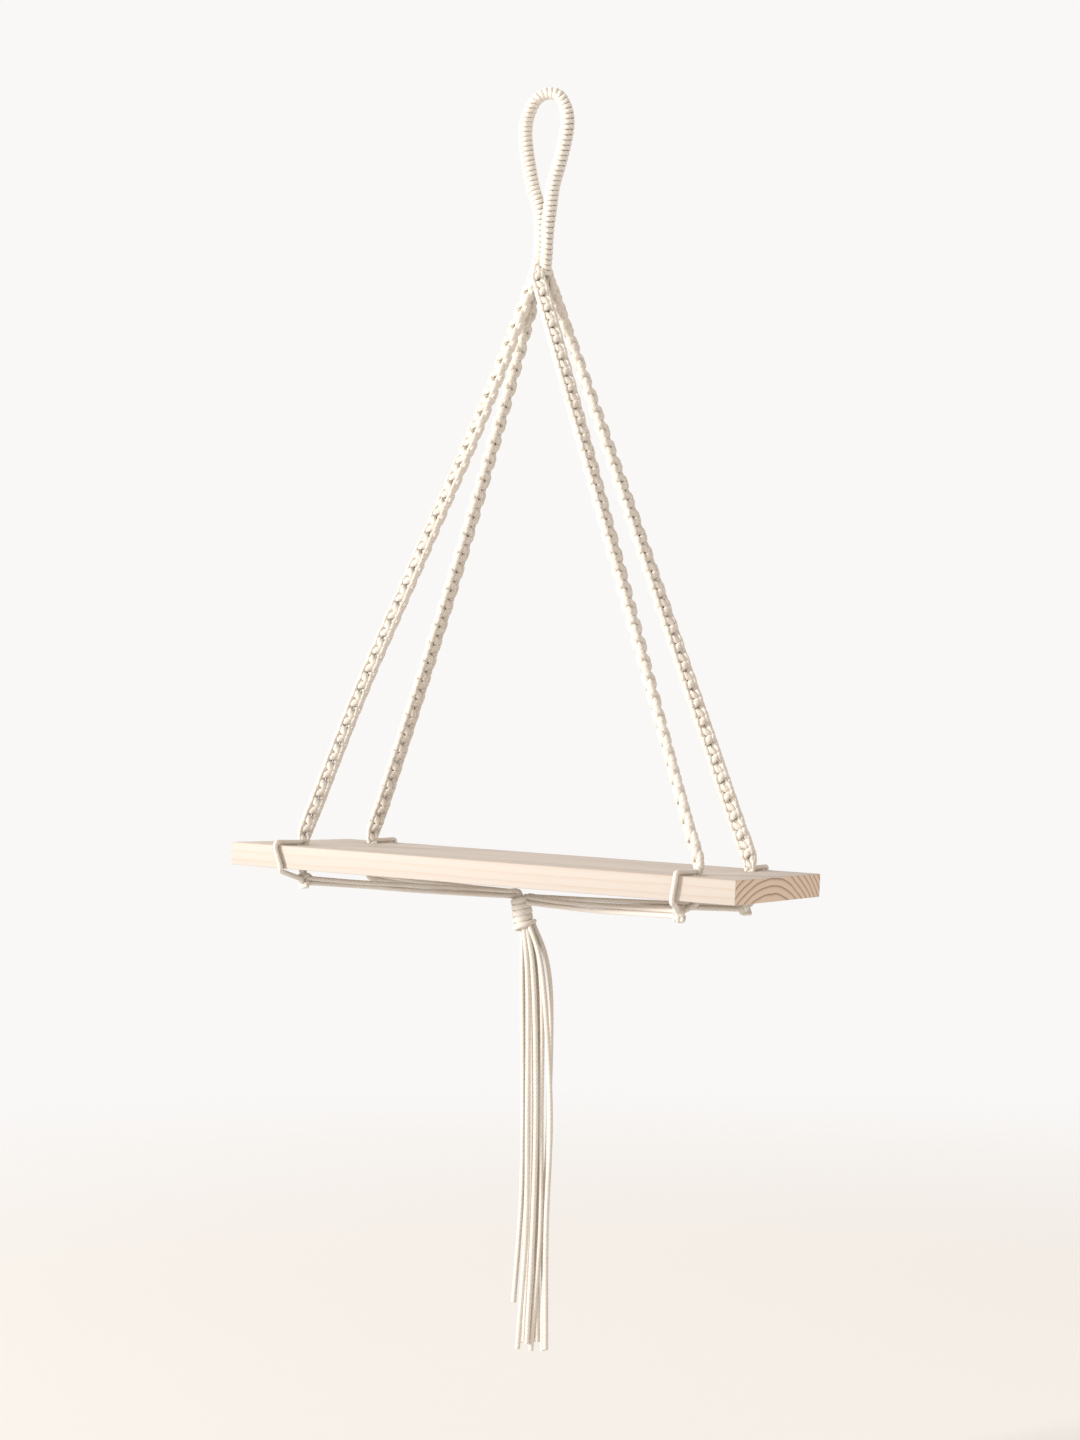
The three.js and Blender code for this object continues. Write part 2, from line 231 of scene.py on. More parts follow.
class Net:
    """A node tree that grows by one call for each node."""

    def __init__(self, tree):
        self.tree = tree

    def node(self, kind, settings=None, feeds=None):
        """Adds a node, makes its settings, feeds its sockets and returns its outlets."""
        made = self.tree.nodes.new(kind)
        made.location.x = 180 * len(self.tree.nodes)
        for name, setting in (settings or {}).items():
            if name == "captures":
                for label, sort in setting.items():
                    made.capture_items.new(sort, label)
            else:
                setattr(made, name, setting)
        for key, item in (feeds or {}).items():
            self.feed(pick(made.inputs, key), item)
        return Outlets(self, made)

    def feed(self, socket, item):
        """Links a socket, or sets its number, colour or vector."""
        if isinstance(item, Value):
            self.tree.links.new(item.socket, socket)
        elif socket.type == "VECTOR" and not hasattr(item, "__len__"):
            socket.default_value = (item, item, item)
        elif socket.type == "RGBA":
            socket.default_value = (*item[:3], 1)
        else:
            socket.default_value = item

    def function(self, operation, *items):
        """A Math node such as SINE or FRACT."""
        return self.node("ShaderNodeMath", {"operation": operation}, dict(enumerate(items)))[0]

    def vector_function(self, operation, *items, outlet="Vector"):
        """A Vector Math node such as CROSS_PRODUCT or LENGTH."""
        made = self.node("ShaderNodeVectorMath", {"operation": operation}, dict(enumerate(items)))
        return made[outlet]

    def mix(self, share, first, second):
        """Blends two colours."""
        feeds = {"Factor": share, "A": first, "B": second}
        return self.node("ShaderNodeMix", {"data_type": "RGBA"}, feeds)["Result"]

    def noise(self, place, scale, detail):
        """Soft noise that changes about once in one over the scale."""
        feeds = {"Vector": place, "Scale": scale, "Detail": detail}
        return self.node("ShaderNodeTexNoise", feeds=feeds)["Fac"]

    def shape(self, kind, geometry, feeds=None):
        """A geometry node that takes a shape and gives it back changed."""
        return self.node("GeometryNode" + kind, feeds={"Geometry": geometry, **(feeds or {})})["Geometry"]

    def join(self, x, y, z):
        return self.node("ShaderNodeCombineXYZ", feeds={0: x, 1: y, 2: z})[0]

    def split(self, vector):
        parts = self.node("ShaderNodeSeparateXYZ", feeds={0: vector})
        return parts[0], parts[1], parts[2]

    def remap(self, value, low, high, to_low=0.0, to_high=1.0, smooth=False):
        """Maps low..high to to_low..to_high and stops at both ends."""
        feeds = {0: value, 1: low, 2: high, 3: to_low, 4: to_high}
        interpolation = "SMOOTHSTEP" if smooth else "LINEAR"
        return self.node("ShaderNodeMapRange", {"interpolation_type": interpolation}, feeds)[0]


class Outlets:
    """A node's outputs, by name or number."""

    def __init__(self, net, made):
        self.net = net
        self.made = made

    def __getitem__(self, key):
        return Value(self.net, pick(self.made.outputs, key))


def new_material(name):
    """An empty material and its net."""
    material = bpy.data.materials.new(name)
    material.use_nodes = True
    material.node_tree.nodes.clear()
    return material, Net(material.node_tree)


def close_material(net, shader):
    net.node("ShaderNodeOutputMaterial", feeds={"Surface": shader})


print("socket sums ready")

# %% [markdown]
# ## Room and floor
#
# A picture of the surroundings could light the shelf, but two plain tones are enough for a matt thing like
# this one. The room is nearly white right behind the shelf and a warm dimmer tone everywhere else, which
# keeps the shaded side of each cord brown instead of grey. The floor is a plain pale disc below the tassel
# that fades out towards its rim, so that no horizon line crosses the picture.

# %% The pale room and the floor
FLOOR_DROP = 1.2
FLOOR_RADIUS = 3.0
FLOOR_COLOUR = (0.87, 0.865, 0.86)
FLOOR_FADES = (0.25, 0.95)
ROOM_COLOUR = (0.955, 0.94, 0.93)
ROOM_DIM = (0.74, 0.68, 0.62)
BRIGHT_SIDE = (-0.455, 0.89, 0.04)
BRIGHT_RIM = (0.6, 0.9)


def pale_room():
    """Surroundings that are bright right behind the shelf and dimmer everywhere else."""
    world = bpy.data.worlds.new("room")
    world.use_nodes = True
    world.node_tree.nodes.clear()
    net = Net(world.node_tree)
    way = net.node("ShaderNodeTexCoord")["Generated"]
    behind = net.vector_function("DOT_PRODUCT", way, BRIGHT_SIDE, outlet="Value")
    colour = net.mix(net.remap(behind, *BRIGHT_RIM, smooth=True), ROOM_DIM, ROOM_COLOUR)
    glow = net.node("ShaderNodeBackground", feeds={"Color": colour})
    net.node("ShaderNodeOutputWorld", feeds={"Surface": glow["Background"]})
    bpy.context.scene.world = world


def floor_material():
    """Plain pale matt floor that fades out towards its rim."""
    material, net = new_material("floor")
    place = net.node("ShaderNodeTexCoord")["Object"]
    away = net.vector_function("LENGTH", place, outlet="Value")
    from_rim, to_rim = (share * FLOOR_RADIUS for share in FLOOR_FADES)
    shown = net.remap(away, from_rim, to_rim, 1, 0, smooth=True)
    shader = net.node("ShaderNodeBsdfPrincipled", feeds={
        "Base Color": FLOOR_COLOUR, "Roughness": 0.9, "Alpha": shown, "Specular IOR Level": 0.1})
    close_material(net, shader["BSDF"])
    return material


def floor():
    mesh = bpy.data.meshes.new("floor")
    disc = bmesh.new()
    bmesh.ops.create_circle(disc, cap_ends=True, segments=96, radius=FLOOR_RADIUS)
    disc.to_mesh(mesh)
    disc.free()
    mesh.materials.append(floor_material())
    ground = new_object("floor", mesh)
    ground.location = (0, 0, -FLOOR_DROP)
    return ground


pale_room()
floor()
print("floor", FLOOR_DROP, "m below the hanging point")

# %% [markdown]
# ## Cotton
#
# The cord is undyed cotton, laid up from three plies. Its colour is a warm off-white, and the grooves between
# the plies carry painted shade: they are coloured browner, on top of the real shade that the lobed section
# throws. Along each ply run fine fibres, and they follow the twist because the pattern is read from an
# attribute that every cord carries: where a point sits in the cord's own section, and how far along the cord
# it is. Cotton has no gloss, only the soft light of its fuzz, which is the shader's sheen.

# %% Cotton
PLY_GROOVE = 0.07
COTTON_LIGHT = (0.86, 0.825, 0.77)
COTTON_WARM = (0.84, 0.785, 0.715)
# A brown tone for the faint streaks along the fibres and for the painted shade in the grooves between the
# plies.
COTTON_STREAK_AND_GROOVE_SHADE = (0.56, 0.46, 0.35)
STREAKS_AROUND = 7
STREAKS_ALONG = 0.6
CLOUD_SCALE = 30
FUZZ_SCALE = 2500


def cotton_material():
    material, net = new_material("undyed_cotton")
    fibre = net.node("ShaderNodeAttribute", {"attribute_name": "fibre"})["Vector"]
    place = net.node("ShaderNodeTexCoord")["Object"]
    across, deep, along = net.split(fibre)
    rim = net.vector_function("LENGTH", net.join(across, deep, 0), outlet="Value")
    # crown is one on the plies and drops to three quarters in the grooves; it shapes the bump and the painted
    # groove shade.
    crown = net.remap(rim, 1 - PLY_GROOVE, 1 - PLY_GROOVE / 3, 0.75, 1, smooth=True)
    drawn_out = net.join(across * STREAKS_AROUND, deep * STREAKS_AROUND, along * STREAKS_ALONG)
    streak = net.noise(drawn_out, 1, detail=4)
    cloud = net.noise(place, CLOUD_SCALE, detail=3)
    fuzz = net.noise(place, FUZZ_SCALE, detail=2)
    light = net.mix(net.remap(cloud, 0.4, 0.7), COTTON_LIGHT, COTTON_WARM)
    light = net.mix(net.remap(streak, 0.35, 0.7) * 0.12, light, COTTON_STREAK_AND_GROOVE_SHADE)
    # Painted shade: the grooves between the plies are coloured towards the brown tone.
    colour = net.mix(crown, COTTON_STREAK_AND_GROOVE_SHADE, light)
    height = crown * 0.3 + streak * 0.35 + fuzz * 0.25
    bump = net.node("ShaderNodeBump", feeds={"Strength": 0.5, "Distance": 0.3 * MM, "Height": height})
    shader = net.node("ShaderNodeBsdfPrincipled", feeds={
        "Base Color": colour, "Roughness": 0.92, "Normal": bump["Normal"], "Specular IOR Level": 0.2,
        "Sheen Weight": 0.25, "Sheen Roughness": 0.5, "Sheen Tint": (1, 0.96, 0.9)})
    close_material(net, shader["BSDF"])
    return material


cotton = cotton_material()
print("cotton has", len(cotton.node_tree.nodes), "nodes")

# %% [markdown]
# ## Pine
#
# A plank is cut from a log, so its grain is not a picture on each face but one pattern through the whole
# wood. The rings are drawn as rings round an axis that runs along the board, a little below it, and every
# face then shows what a saw would: arches on the end, long flames on top and straight lines on the edge.
# Each ring is pale where the tree grew fast in spring and dark where it slowed. The end grain drinks up
# light and looks darker.

# %% Pine
PITH_ACROSS = -20 * MM
PITH_DOWN = -138 * MM
RING_WIDTH = 6 * MM
PINE_SPRING = (0.605, 0.545, 0.488)
PINE_SUMMER = (0.55, 0.44, 0.345)
END_SPRING = (0.755, 0.59, 0.465)
END_SUMMER = (0.24, 0.155, 0.105)
SWAY_DEEP = 9 * MM
RIPPLE_DEEP = 2 * MM


def pine_material():
    material, net = new_material("pine")
    coordinates = net.node("ShaderNodeTexCoord")
    turned = {"vector_type": "TEXTURE"}
    feeds = {"Vector": coordinates["Object"], "Location": board_top, "Rotation": (0, board_tilt, 0)}
    place = net.node("ShaderNodeMapping", turned, feeds)["Vector"]
    along, across, down = net.split(place)

    def drawn_out(lengthwise, crosswise, detail):
        """Noise with its own scale along the grain and across it."""
        stretched = net.join(along * lengthwise, across * crosswise, down * crosswise)
        return net.noise(stretched, 1, detail)

    sway = drawn_out(2.2, 9, detail=2)
    ripple = drawn_out(12, 60, detail=2)
    fibre = drawn_out(25, 1500, detail=3)
    from_pith = net.join(0, across - PITH_ACROSS, down - PITH_DOWN)
    radius = net.vector_function("LENGTH", from_pith, outlet="Value")
    radius = radius + (sway - 0.5) * SWAY_DEEP + (ripple - 0.5) * RIPPLE_DEEP
    ring = net.function("FRACT", radius / RING_WIDTH)
    summer = net.remap(ring, 0.45, 0.93) ** 2.2 * net.remap(ring, 0.95, 1, 1, 0)
    facing = net.vector_function("DOT_PRODUCT", coordinates["Normal"], board_along, outlet="Value")
    end_grain = net.remap(net.function("ABSOLUTE", facing), 0.6, 0.9)
    side_colour = net.mix(summer * 0.55, PINE_SPRING, PINE_SUMMER)
    side_colour = net.mix(net.remap(fibre, 0.45, 0.75) * 0.25, side_colour, PINE_SUMMER)
    end_colour = net.mix(summer * 0.9, END_SPRING, END_SUMMER)
    colour = net.mix(end_grain, side_colour, end_colour)
    height = fibre * 0.5 - summer * 0.5
    bump = net.node("ShaderNodeBump", feeds={"Strength": 0.25, "Distance": 0.2 * MM, "Height": height})
    roughness = 0.58 + end_grain * 0.25 - summer * 0.08
    shader = net.node("ShaderNodeBsdfPrincipled", feeds={
        "Base Color": colour, "Roughness": roughness, "Normal": bump["Normal"], "Specular IOR Level": 0.3})
    close_material(net, shader["BSDF"])
    return material


pine = pine_material()
print("pine has", len(pine.node_tree.nodes), "nodes")

# %% [markdown]
# ## The board
#
# The maker cuts the plank to length, drills a hole near each corner and eases the sharp edges with
# sandpaper. The mesh is made the same way: a box, four drilled holes as one boolean cut, and a small
# rounded bevel on what is left sharp. The bevel is what catches the light along an edge.

# %% The board
EASED_EDGE = 0.7 * MM
HOLE_SIDES = 32
BEVEL_FROM = math.radians(40)
SHARP_FROM = math.radians(30)


def apply_modifiers(piece):
    """Turns a piece and its modifiers into one plain mesh."""
    bpy.context.view_layer.update()
    depsgraph = bpy.context.evaluated_depsgraph_get()
    mesh = bpy.data.meshes.new_from_object(piece.evaluated_get(depsgraph), preserve_all_data_layers=True,
                                           depsgraph=depsgraph)
    piece.modifiers.clear()
    piece.data = mesh
    mesh.name = piece.name


def drill():
    """Four cylinders as one cutter, in the board's own frame."""
    mesh = bpy.data.meshes.new("drill")
    cutter = bmesh.new()
    for corner in CORNERS:
        place = Matrix.Translation(Vector((corner["x"] * MM, corner["y"] * MM, -BOARD_THICK / 2)))
        bmesh.ops.create_cone(cutter, cap_ends=True, segments=HOLE_SIDES, radius1=HOLE_ACROSS / 2,
                              radius2=HOLE_ACROSS / 2, depth=2 * BOARD_THICK, matrix=place)
    cutter.to_mesh(mesh)
    cutter.free()
    return new_object("drill", mesh)


def plank():
    mesh = bpy.data.meshes.new("pine_board")
    block = bmesh.new()
    size = Matrix.Diagonal((BOARD_LENGTH, BOARD_DEPTH, BOARD_THICK, 1))
    bmesh.ops.create_cube(block, size=1, matrix=Matrix.Translation((0, 0, -BOARD_THICK / 2)) @ size)
    block.to_mesh(mesh)
    block.free()
    piece = new_object("pine_board", mesh)
    cutter = drill()
    holes = piece.modifiers.new("holes", "BOOLEAN")
    holes.operation = "DIFFERENCE"
    holes.object = cutter
    holes.solver = "EXACT"
    eased = piece.modifiers.new("eased", "BEVEL")
    eased.width = EASED_EDGE
    eased.segments = 3
    eased.limit_method = "ANGLE"
    eased.angle_limit = BEVEL_FROM
    apply_modifiers(piece)
    bpy.data.objects.remove(cutter)
    piece.data.transform(board_frame)
    piece.data.materials.clear()
    piece.data.materials.append(pine)
    piece.data.shade_smooth()
    piece.data.set_sharp_from_angle(angle=SHARP_FROM)
    return piece


def hand_over(piece, slot, *nodes):
    """Puts a finished piece on the root body, hides the solids that it stands for and prints its triangles.
    The slot is not used.
    """
    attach(piece, "root")
    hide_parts(*nodes)
    triangles = sum(len(face.vertices) - 2 for face in piece.data.polygons)
    print(piece.name, triangles, "triangles")


hand_over(plank(), "pine", "board")

# %% [markdown]
# ## A laid cord
#
# Three plies twisted together give a section of three lobes that turns as it goes along. A geometry tree
# makes that from any line: it spaces the line evenly, tilts it by one turn for each lay length, and sweeps a
# lobed ring along it. Where a cord is squeezed against something, a flat vector takes off a share of its
# thickness in that direction. The tree also stores the fibre attribute that the cotton reads.

# %% A geometry tree that lays a cord along each line
CORD_SIZES = {
    "Radius": CORD_RADIUS,
    "Lay": 11 * MM,
    "Step": 1.1 * MM,
    "Sides": 12,
    "Plies": 3,
    "Groove": PLY_GROOVE,
    "Material": "Material",
}
SOCKET_KINDS = {float: "Float", int: "Int", tuple: "Vector"}


def geometry_tree(name, sizes):
    """A new tree with an input for each size: a number or vector to start from, or the kind of a thing."""
    tree = bpy.data.node_groups.new(name, "GeometryNodeTree")
    tree.interface.new_socket("Geometry", in_out="INPUT", socket_type="NodeSocketGeometry")
    for label, start in sizes.items():
        kind = SOCKET_KINDS.get(type(start), start)
        socket = tree.interface.new_socket(label, in_out="INPUT", socket_type="NodeSocket" + kind)
        if kind != start:
            socket.default_value = start
    tree.interface.new_socket("Geometry", in_out="OUTPUT", socket_type="NodeSocketGeometry")
    net = Net(tree)
    return net, net.node("NodeGroupInput")


def close_tree(net, given, mesh):
    """Ends a tree in one plain mesh with its material."""
    mesh = net.shape("SetMaterial", net.shape("RealizeInstances", mesh), {"Material": given["Material"]})
    net.node("NodeGroupOutput", feeds={"Geometry": mesh})
    return net.tree


def laid_cord_tree():
    net, given = geometry_tree("laid cord", {**CORD_SIZES, "Girth": 1.0, "Flat": (0, 0, 0)})
    feeds = {"Curve": given["Geometry"], "Length": given["Step"]}
    curve = net.node("GeometryNodeResampleCurve", {"mode": "LENGTH"}, feeds)["Curve"]
    along = net.node("GeometryNodeSplineParameter")["Length"]
    tilt = along / given["Lay"] * TURN
    curve = net.node("GeometryNodeSetCurveTilt", feeds={"Curve": curve, "Tilt": tilt})["Curve"]
    position = net.node("GeometryNodeInputPosition")["Position"]
    line = net.node("GeometryNodeCaptureAttribute",
                    {"captures": {"along": "FLOAT", "middle": "VECTOR", "flat": "VECTOR"}},
                    {"Geometry": curve, "along": along, "middle": position, "flat": given["Flat"]})

    circle = net.node("GeometryNodeCurvePrimitiveCircle", feeds={"Resolution": given["Sides"], "Radius": 1})
    angle = net.node("GeometryNodeInputIndex")["Index"] / given["Sides"] * TURN
    lobe = net.function("COSINE", angle * given["Plies"]) * 0.5 - 0.5
    ring = net.shape("SetPosition", circle["Curve"], {"Position": position * (1 + lobe * given["Groove"])})
    section = net.node("GeometryNodeCaptureAttribute", {"captures": {"section": "VECTOR"}},
                       {"Geometry": ring, "section": position})
    scale = given["Radius"] * given["Girth"]
    mesh = net.node("GeometryNodeCurveToMesh", feeds={
        "Curve": line["Geometry"], "Profile Curve": section["Geometry"], "Scale": scale,
        "Fill Caps": True})["Mesh"]
    outwards = position - line["middle"]
    squeezed = line["flat"] * net.vector_function("DOT_PRODUCT", outwards, line["flat"], outlet="Value")
    mesh = net.shape("SetPosition", mesh, {"Position": position - squeezed})
    across, deep, _ = net.split(section["section"])
    fibre = net.join(across, deep, line["along"] / given["Radius"])
    mesh = net.node("GeometryNodeStoreNamedAttribute", {"data_type": "FLOAT_VECTOR", "domain": "POINT"},
                    {"Geometry": mesh, "Name": "fibre", "Value": fibre})["Geometry"]
    return close_tree(net, given, net.shape("SetShadeSmooth", mesh))


laid_cord = laid_cord_tree()


def lay(net, given, curve, girth=1.0, flat=(0, 0, 0), **changed):
    """Lays a cord along a curve inside another tree, with that tree's own cord sizes."""
    feeds = {label: given[label] for label in CORD_SIZES}
    feeds.update({"Geometry": curve, "Girth": girth, "Flat": flat})
    feeds.update({label.capitalize(): size for label, size in changed.items()})
    return net.node("GeometryNodeGroup", {"node_tree": laid_cord}, feeds)["Geometry"]


print("cord tree has", len(laid_cord.nodes), "nodes")

# %% [markdown]
# ## Lines and pieces
#
# A cord's route is a short list of places that it passes, with a smooth line through them.
# The lines of one piece are kept together in a curve object that a geometry tree can read, and the
# function that grows a piece runs the tree, keeps its result as a plain mesh and clears the lines away.

# %% From listed stops to a plain mesh
LINE_STEPS = 14
LEAST_GAP = 1e-6


def smooth_line(stops):
    """A centripetal curve through the stops, so that it neither loops nor overshoots at close ones."""
    stops = [Vector(stop) for stop in stops]
    ends = [2 * stops[0] - stops[1], *stops, 2 * stops[-1] - stops[-2]]
    line = []
    for before, start, end, after in zip(ends, ends[1:], ends[2:], ends[3:]):
        legs = ((before, start), (start, end), (end, after))
        gaps = [max((b - a).length, LEAST_GAP) ** 0.5 for a, b in legs]
        leaving = (start - before) / gaps[0] - (end - before) / (gaps[0] + gaps[1]) + (end - start) / gaps[1]
        coming = (end - start) / gaps[1] - (after - start) / (gaps[1] + gaps[2]) + (after - end) / gaps[2]
        leaving = leaving * gaps[1]
        coming = coming * gaps[1]
        for step in range(LINE_STEPS):
            t = step / LINE_STEPS
            line.append(start * (2 * t ** 3 - 3 * t ** 2 + 1) + leaving * (t ** 3 - 2 * t ** 2 + t)
                        + end * (3 * t ** 2 - 2 * t ** 3) + coming * (t ** 3 - t ** 2))
    return [*line, stops[-1]]


def draw_lines(name, lines):
    """Keeps lines as one curve object that a geometry tree can read."""
    data = bpy.data.curves.new(name, "CURVE")
    data.dimensions = "3D"
    for line in lines:
        spline = data.splines.new("POLY")
        spline.points.add(len(line) - 1)
        for point, place in zip(spline.points, line):
            point.co = (*place, 1)
    return new_object(name, data)


def grow(name, tree, sizes):
    """Runs a geometry tree and keeps the result as a plain mesh."""
    piece = new_object(name, bpy.data.meshes.new(name))
    modifier = piece.modifiers.new("grow", "NODES")
    modifier.node_group = tree
    inputs = {item.name: item.identifier for item in tree.interface.items_tree if item.in_out == "INPUT"}
    for label, size in {"Material": cotton, **sizes}.items():
        modifier[inputs[label]] = size
    apply_modifiers(piece)
    return piece


def join_pieces(name, parts):
    """Makes several grown parts one mesh."""
    whole = bmesh.new()
    for part in parts:
        whole.from_mesh(part.data)
        bpy.data.objects.remove(part)
    mesh = bpy.data.meshes.new(name)
    whole.to_mesh(mesh)
    whole.free()
    mesh.materials.append(cotton)
    return new_object(name, mesh)


def plain_cords_tree():
    """Lays a cord along every line of a curve object."""
    net, given = geometry_tree("plain cords", {**CORD_SIZES, "Lines": "Object"})
    lines = net.node("GeometryNodeObjectInfo", feeds={"Object": given["Lines"]})["Geometry"]
    return close_tree(net, given, lay(net, given, lines))


plain_cords = plain_cords_tree()


def grow_cords(name, lines, **sizes):
    """Plain laid cords along a few lines."""
    drawn = draw_lines(name + "_lines", lines)
    named = {label.capitalize(): size for label, size in sizes.items()}
    piece = grow(name, plain_cords, {"Lines": drawn, **named})
    bpy.data.objects.remove(drawn)
    return piece


print("a smooth line through 3 stops has", len(smooth_line([(0, 0, 0), (1, 0, 0), (1, 1, 0)])), "points")

# %% [markdown]
# ## Chains of square knots
#
# A square knot is tied with two working cords round two that hang still. One working cord always passes in
# front, once from the left and once from the right, and the other does the same behind, half a turn round.
# So only half of one cord's way has to be listed: the second half is its mirror image, and the other
# cord is the first one turned round. The tree repeats that way down the chain, turns it slowly, as the
# chain does when it hangs, bends it onto the chain's own line and lays a cord along it.

# %% One cord's way through half a square knot
KNOT_PITCH = 16.5 * MM
KNOT_HALF_WIDTH = 4.85 * MM
WORKING_RADIUS = 3.25 * MM
STILL_RADIUS = 2.9 * MM
SECOND_HALF = 0.42
HALF_KNOT = table(
    "across deep down",
    (-1.00, -0.9, 0.00),
    (-0.95, -1.7, 0.30),
    (-0.82, -0.6, 0.62),
    (-0.50, 2.3, 0.74),
    (0.00, 2.9, 0.56),
    (0.50, 2.3, 0.36),
    (0.82, -0.6, 0.30),
    (0.98, -1.8, 0.58),
)


def knot_lines():
    """The four cords of one square knot: front, back and the two still ones, in the knot's own frame."""
    def way(side, front):
        stops = []
        for half, begins in enumerate((0, SECOND_HALF, 1)):
            mirror = side * (-1) ** half
            for row in HALF_KNOT:
                x = mirror * row["across"] * KNOT_HALF_WIDTH
                stops.append((x, front * row["deep"] * MM, (begins + row["down"] / 2) * KNOT_PITCH))
        return stops

    def one_knot(stops):
        """Smooths three half knots and keeps the middle of the run, from one knot's top to the next's."""
        line = smooth_line(stops)
        half = len(HALF_KNOT) * LINE_STEPS
        return line[:2 * half + 1]

    lines = [one_knot(way(1, 1)), one_knot(way(-1, -1))]
    for side in (-1, 1):
        x = side * STILL_RADIUS
        lines.append([(x, 0, 0), (x, 0, KNOT_PITCH)])
    return lines


print("half a knot passes", len(HALF_KNOT), "places")

# %% A geometry tree that ties a chain
KNOT_POINTS = 40
STILL_STEP = 3 * MM
STILL_SIDES = 8
INTO_KNOT = 1e-5


def chain_tree():
    sizes = {
        **CORD_SIZES,
        "Path": "Object",
        "Knot": "Object",
        "Knots": 32,
        "Start Turn": 0.0,
        "Turns": 1.0,
        "Foot Scale": 0.62,
        "Foot Knots": 1.6,
        "Top Scale": 0.85,
        "Drawn In": 1.5,
        "Pressed": 0.35,
    }
    net, given = geometry_tree("square knots", sizes)
    path = net.node("GeometryNodeObjectInfo", feeds={"Object": given["Path"]})["Geometry"]
    knot = net.node("GeometryNodeObjectInfo", feeds={"Object": given["Knot"]})["Geometry"]
    straight = net.node("GeometryNodeCurvePrimitiveLine")["Curve"]
    feeds = {"Curve": straight, "Count": given["Knots"] * KNOT_POINTS + 1}
    points = net.node("GeometryNodeResampleCurve", {"mode": "COUNT"}, feeds)["Curve"]
    done = net.node("GeometryNodeInputIndex")["Index"] / KNOT_POINTS + INTO_KNOT
    by_share = {"mode": "FACTOR"}
    joined = net.tree.nodes.new("GeometryNodeJoinGeometry")
    for strand in range(4):
        feeds = {"Curves": knot, "Factor": net.function("FRACT", done), "Curve Index": strand}
        x, y, z = net.split(net.node("GeometryNodeSampleCurve", by_share, feeds)["Position"])
        down = (net.function("FLOOR", done) + z / KNOT_PITCH) / given["Knots"]
        from_top = down * given["Knots"]
        from_foot = (1 - down) * given["Knots"]
        drawn_top = net.remap(from_top, 0, given["Drawn In"], given["Top Scale"], 1, smooth=True)
        drawn_foot = net.remap(from_foot, 0, given["Foot Knots"], given["Foot Scale"], 1, smooth=True)
        drawn = drawn_top * drawn_foot
        turn = (given["Start Turn"] + given["Turns"] * (1 - down)) * TURN
        cosine = net.function("COSINE", turn)
        sine = net.function("SINE", turn)
        on_path = net.node("GeometryNodeSampleCurve", by_share, {"Curves": path, "Factor": 1 - down})
        tangent = on_path["Tangent"]
        across = net.vector_function("NORMALIZE", net.vector_function("CROSS_PRODUCT", to_wall, tangent))
        through = net.vector_function("CROSS_PRODUCT", tangent, across)
        sideways = across * ((x * cosine - y * sine) * drawn) + through * ((x * sine + y * cosine) * drawn)
        pressed = net.vector_function("NORMALIZE", sideways) * net.function("SQRT", given["Pressed"])
        captures = {"captures": {"pressed": "VECTOR", "drawn": "FLOAT"}}
        feeds = {"Geometry": points, "pressed": pressed, "drawn": drawn}
        kept = net.node("GeometryNodeCaptureAttribute", captures, feeds)
        curve = net.shape("SetPosition", kept["Geometry"], {"Position": on_path["Position"] + sideways})
        if strand < 2:
            cord = lay(net, given, curve, girth=kept["drawn"], flat=kept["pressed"])
        else:
            cord = lay(net, given, curve, radius=STILL_RADIUS, step=STILL_STEP, sides=STILL_SIDES)
        net.tree.links.new(cord.socket, joined.inputs[0])
    return close_tree(net, given, Value(net, joined.outputs[0]))


square_knots = chain_tree()
print("chain tree has", len(square_knots.nodes), "nodes")

# %% [markdown]
# ## Hanging the chains
#
# Each chain rises upright out of its hole for a few millimetres, leans over to the neck and sags a little
# sideways on the way. The two front ones end in front of the back ones at the neck's foot. A second table,
# with a row for each corner in the same order, says where a chain ends beside the neck's line and how far it
# rises into the neck, how far it bows and sways aside on its way, and how it is turned at its foot and twists
# up to its top, in whole turns.

# %% Four chains
LOOP_LEAN = math.radians(6.2)
NECK_X = 1.8
NECK_START = 108
NECK_END = 161
FOOT_STRAIGHT = 8.2
HOLE_SUNK = -7
CHAIN_GATHERED = 0.6
CHAIN_STOPS = (0.06, 0.25, 0.5, 0.75, 0.97)
BELOW_NECK = 3.6
CHAINS = table(
    "top_x top_out rise bow sway start turns",
    (-5.8, 3.8, 14, 1, -3.8, 0.1, -0.2),
    (0.8, 9.2, 5, 0.5, 0, 0.86, -0.3),
    (-5.6, -5.6, 8, 4.5, 0, 0.6, 0.2),
    (5.6, -5.6, 6, 0.5, 0, 0.01, 0.31),
)


def in_loop(x, down, out):
    """A place in the loop's leaning plane, in millimetres: to the right, down and out to the room."""
    lean = Vector((0, -math.sin(LOOP_LEAN), -math.cos(LOOP_LEAN)))
    to_room = Vector((0, -math.cos(LOOP_LEAN), math.sin(LOOP_LEAN)))
    return (Vector((x, 0, 0)) + lean * down + to_room * out) * MM


def chain_top(corner, below, gathered=1):
    """A place at the chain's top, below the neck's foot. Gathered cords are nearer to the neck's line."""
    return in_loop(NECK_X + gathered * corner["top_x"], NECK_END + below, gathered * corner["top_out"])


def chain_path(corner):
    """From inside the hole up to the neck."""
    foot = on_board(corner["x"], corner["y"], HOLE_SUNK)
    straight = on_board(corner["x"], corner["y"], FOOT_STRAIGHT)
    top = chain_top(corner, BELOW_NECK)
    end = chain_top(corner, -corner["rise"], CHAIN_GATHERED)
    leaning = []
    for share in CHAIN_STOPS:
        stray = corner["bow"] * math.sin(math.pi * share) + corner["sway"] * math.sin(TURN * share)
        leaning.append(straight.lerp(top, share) + Vector((stray * MM, 0, 0)))
    return smooth_line([foot, straight, *leaning, top, end])


def line_length(line):
    return sum((b - a).length for a, b in zip(line, line[1:]))


